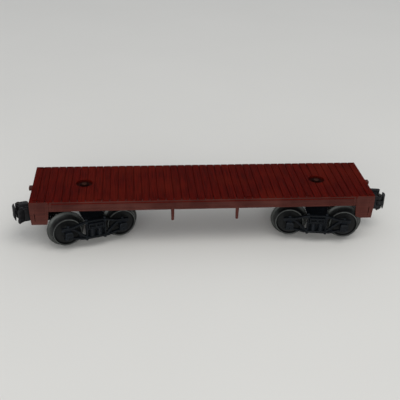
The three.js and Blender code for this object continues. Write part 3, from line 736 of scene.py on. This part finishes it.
def flat_arm():
    """The steel strip from the kingpin to the coupler head, with the two hinge lugs under it."""
    eye = [(5.0 * math.cos(a), 5.0 * math.sin(a)) for a in [math.radians(37 + 11 * k) for k in range(27)]]
    outline = eye + [(5.5, -3.0), (36.6, -3.0), (36.6, 3.0), (5.5, 3.0)]
    strip = prism(outline, "z", 14.3, 15.3, 0)
    strip = soften(cut(strip, [rod(2.2, 10, 20, edge=0), rod(1.2, 10, 20, SCREW_X, 0, 0)]), 0.15)
    low = [(HINGE_X - 0.5, 12.3), (HINGE_X - 1.1, 12.9)]
    lug = [(HINGE_X - 1.1, 14.4), (HINGE_X + 1.1, 14.4), (HINGE_X + 1.1, 12.9), (HINGE_X + 0.5, 12.3), *low]
    lugs = [prism(lug, "y", *span, 0.12) for span in ((1.9, 3.0), (-3.0, -1.9))]
    return join([strip] + lugs)


def ear(low, high):
    """One of the two ears that carry the knuckle pin."""
    corners = [(-1.8, -1.9), (0.9, -1.9), (1.9, -0.9), (1.9, 0.9), (0.9, 1.9), (-1.8, 1.9)]
    outline = turn_outline([(PIN_X + x, PIN_Y + y) for x, y in corners], 0.4)
    shape = prism(outline, "z", low, high, 0)
    return soften(cut(shape, [rod(1.0, 0, 30, PIN_X, PIN_Y, 0)]), 0.15)


def coupler_head():
    """The cast head: a block on the arm, the curved guard arm, two ears for the knuckle and a tab on top."""
    block = [(33.3, -3.6), (34.4, -4.5), (37.6, -4.5), (37.6, 4.5), (34.4, 4.5), (33.3, 3.6)]
    rear = prism(turn_outline(block, 0.7), "z", HEAD_LOW, HEAD_HIGH, 0)
    slot = box((32, -3.3, 13), (36.9, 3.3, 15.6), 0)
    rear = soften(cut(rear, [slot]), 0.3, 3)
    arm = [(36.5, 4.5), (38.2, 5.8), (40.2, 6.9), (41.0, 6.6), (40.9, 5.6), (39.6, 4.4), (38.2, 1.0),
           (36.5, 1.0)]
    guard = prism(turn_outline(arm, 0.9, 4), "z", HEAD_LOW + 0.3, HEAD_HIGH - 0.3, 0.3, 3)
    tab = box((33.8, 0.3, HEAD_HIGH - 0.5), (39.3, 2.6, 24.4), 0.3, 3)
    shelf = box((37.4, -1.9, 20.8), (39.3, 2.8, HEAD_HIGH - 0.02), 0.3, 3)
    ears = [ear(HEAD_LOW + 0.02, EAR_LOW_TOP), ear(EAR_HIGH_BOTTOM, HEAD_HIGH - 0.02)]
    return join([rear, guard, tab, shelf] + ears)


def knuckle():
    """The hook that swings on the knuckle pin."""
    plan = [(41.4, -4.5), (42.0, -3.7), (42.5, -2.6), (42.9, -1.2), (42.9, 1.4), (42.2, 2.4), (41.6, 2.2),
            (41.4, 1.2)]
    hook = prism(turn_outline(plan, 0.5, 4), "z", 14.1, HEAD_HIGH - 0.3, 0.25, 3)
    hook = soften(cut(hook, [prism([(41.7, 13.5), (43.5, 13.5), (43.5, 17.5)], "y", -6, 4, 0)]), 0.2)
    low, high = EAR_LOW_TOP + 0.3, 19.2
    tongue = box((39.4, PIN_Y - 1.88, low + 0.01), (41.7, PIN_Y + 1.88, high - 0.01), 0.2)
    hub = lathe(turn_outline([(0.9, low), (1.9, low), (1.9, high), (0.9, high)], 0.15), 40,
                centre=(PIN_X, PIN_Y, 0))
    return join([hook, tongue, hub])


def knuckle_pin():
    profile = [(0, 13.05), (1.25, 13.05), (1.25, 13.6), (0.7, 13.6), (0.7, 22.7), (1.25, 22.7), (1.25, 23.0),
               (0.8, 23.25), (0, 23.25)]
    return lathe(turn_outline(profile, 0.14, 3, closed=False), 32, centre=(PIN_X, PIN_Y, 0))


def head_screw():
    profile = [(0, 13.6), (1.3, 13.6), (1.5, 13.75), (1.5, 14.0), (0.9, 14.0), (0.9, 20.0), (0, 20.0)]
    screw = lathe(turn_outline(profile, 0.1, 2, closed=False), 40, centre=(SCREW_X, 0, 0))
    return cut(screw, [box((33, -0.2, 11.0), (37.5, 0.2, 13.8), 0)])


def uncoupling_plate():
    """The bent plate that hangs under the arm, with a tack at its tip; it drops there to free the knuckle."""
    near = [(19.6, -4.4), (22.4, -4.4), (23.4, -2.2)]
    root = prism(turn_outline(near + [(x, -y) for x, y in reversed(near)], 0.3), "z", 11.3, 12.0, 0.15)
    bends = [(22.6, 11.65), (27.85, 11.65), (30.35, 12.95), (37.1, 12.95)]
    strip = strap(turn_outline(bends, 0.8, 4, closed=False), 0.66, -2.2, 2.2, 0.12)
    neck = box((36.6, -0.9, 12.62), (39.4, 1.5, 13.28), 0.12)
    profile = [(0, 10.5), (0.45, 10.5), (1.05, 11.6), (1.05, 13.2), (0, 13.2)]
    tack = lathe(turn_outline(profile, 0.3, 3, closed=False), 32, centre=(39.4, 0.3, 0))
    side = [(19.6, 11.5), (22.4, 11.5), (22.4, 13.7), (21.6, 14.45), (20.4, 14.45), (19.6, 13.7)]
    lug = turn_outline(side, 0.4)
    lugs = [prism(lug, "y", *span, 0.12) for span in ((3.5, 4.4), (-4.4, -3.5))]
    return join([root, strip, neck, tack] + lugs)


def build_truck(end, x, yaw, sides, finishes):
    """One truck, modelled with its coupler towards +X and then turned into place."""
    truck = f"truck_{end}"
    place = Matrix.Translation((x * MM, 0, 0)) @ Matrix.Rotation(math.radians(yaw), 4, "Z")
    black, wheels, casting, blackened, bright, dull = finishes
    piece(f"bolster_{end}_beam", bolster(), black, truck, [f"truck_bolster_{end}"], place)
    for side, turn in sides:
        turned = place @ Matrix.Rotation(turn, 4, "Z")
        piece(f"side_frame_{end}_{side}_bars", side_frame(), black, truck, [f"side_frame_{end}_{side}"],
              turned)
    for where, axle_x in (("outer", HALF_BASE), ("inner", -HALF_BASE)):
        body = f"wheelset_{end}_{where}"
        centre = place @ Matrix.Translation((axle_x * MM, 0, FLANGE_R * MM))
        piece(f"axle_{end}_{where}_shaft", axle(), bright, body, [f"axle_{end}_{where}"], centre,
              centred=True)
        for side, turn in sides:
            piece(f"wheel_{end}_{where}_{side}_rim", wheel(), wheels, body, [f"wheel_{end}_{where}_{side}"],
                  centre @ Matrix.Rotation(turn, 4, "Z"), 60, True)
    pieces = [
        ("coupler_arm", "strip", flat_arm(), blackened, truck, "black_steel"),
        ("coupler_head", "casting", coupler_head(), casting, truck, "black_casting"),
        ("head_screw", "turned", head_screw(), bright, truck, "steel"),
        ("knuckle", "hook", knuckle(), casting, f"knuckle_{end}", "black_casting"),
        ("knuckle_pin", "turned", knuckle_pin(), dull, truck, "steel"),
        ("knuckle_spring", "coil", coil(PIN_X, PIN_Y, 19.5, 20.0, 1.8, 0.14, 1.6, 32), dull, truck, "steel"),
        ("uncoupling_plate", "blade", uncoupling_plate(), blackened, f"uncoupling_plate_{end}",
         "black_steel"),
        ("plate_hinge_pin", "rod", cross_rod(0.4, -4.9, 4.9, HINGE_X, HINGE_Z), bright, truck, "steel"),
    ]
    for node, kind, shape, finish, body, slot in pieces:
        piece(f"{node}_{end}_{kind}", shape, finish, body, [f"{node}_{end}"], place)


# ---------- Floor, light and camera ----------

def floor():
    f = Finish("pale_floor", 0.6, specular=0.25)
    cloud = f.noise(6, detail=3)
    tone = f.mix(cloud, (0.66, 0.655, 0.63), (0.70, 0.695, 0.67))
    bm = bmesh.new()
    bmesh.ops.create_grid(bm, x_segments=1, y_segments=1, size=3)
    mesh = bpy.data.meshes.new("floor")
    bm.to_mesh(mesh)
    bm.free()
    plane = bpy.data.objects.new("floor", mesh)
    plane.location.z = -0.00005
    bpy.context.collection.objects.link(plane)
    mesh.materials.append(f.finish(tone))


def area_light(name, place, target, size, power, colour):
    light = bpy.data.lights.new(name, "AREA")
    light.shape = "RECTANGLE"
    light.size, light.size_y = size
    light.energy = power
    light.color = colour
    obj = bpy.data.objects.new(name, light)
    obj.location = place
    obj.rotation_euler = (Vector(target) - Vector(place)).to_track_quat("-Z", "Y").to_euler()
    bpy.context.collection.objects.link(obj)


def light_room():
    world = bpy.data.worlds.new("room")
    world.use_nodes = True
    world.node_tree.nodes["Background"].inputs["Color"].default_value = (0.95, 0.97, 1.0, 1)
    world.node_tree.nodes["Background"].inputs["Strength"].default_value = 0.56
    bpy.context.scene.world = world
    area_light("window", (-0.35, -1.3, 0.36), (0, 0, 0.02), (1.5, 0.6), 10.5, (1.0, 0.99, 0.97))
    area_light("ceiling", (0.3, -0.45, 1.4), (0, 0, 0), (1.3, 0.9), 8.6, (1.0, 0.98, 0.95))


def camera():
    made = bpy.data.cameras.new("camera")
    made.lens = CAMERA_LENS
    made.sensor_width = 36
    obj = bpy.data.objects.new("camera", made)
    turn = (Matrix.Rotation(math.radians(CAMERA_YAW), 4, "Z")
            @ Matrix.Rotation(math.radians(CAMERA_PITCH), 4, "X")
            @ Matrix.Rotation(math.radians(CAMERA_ROLL), 4, "Y")
            @ Matrix.Rotation(math.pi / 2, 4, "X"))
    obj.matrix_world = Matrix.Translation(Vector(CAMERA_PLACE) * MM) @ turn
    bpy.context.collection.objects.link(obj)
    bpy.context.scene.camera = obj


# ---------- Scene ----------

build_body()
BRIGHT = dark_metal("steel", (0.20, 0.185, 0.17), (0.3, 0.45))
build_kingpins(BRIGHT, rivet_finish("rivet_brown"))
FINISHES = (black_plastic("black_plastic"), wheel_metal("wheel_metal"),
            black_plastic("black_casting", (0.009, 0.009, 0.010), (0.3, 0.5)),
            dark_metal("black_steel", (0.012, 0.012, 0.012), (0.35, 0.5)), BRIGHT,
            dark_metal("dull_steel", (0.022, 0.020, 0.018), (0.3, 0.45)))
build_truck("left", -KINGPIN_X, 197.5, (("front", 0), ("rear", math.pi)), FINISHES)
build_truck("right", KINGPIN_X, -7.4, (("rear", 0), ("front", math.pi)), FINISHES)
floor()
light_room()
camera()
bpy.context.scene.view_settings.view_transform = "Standard"
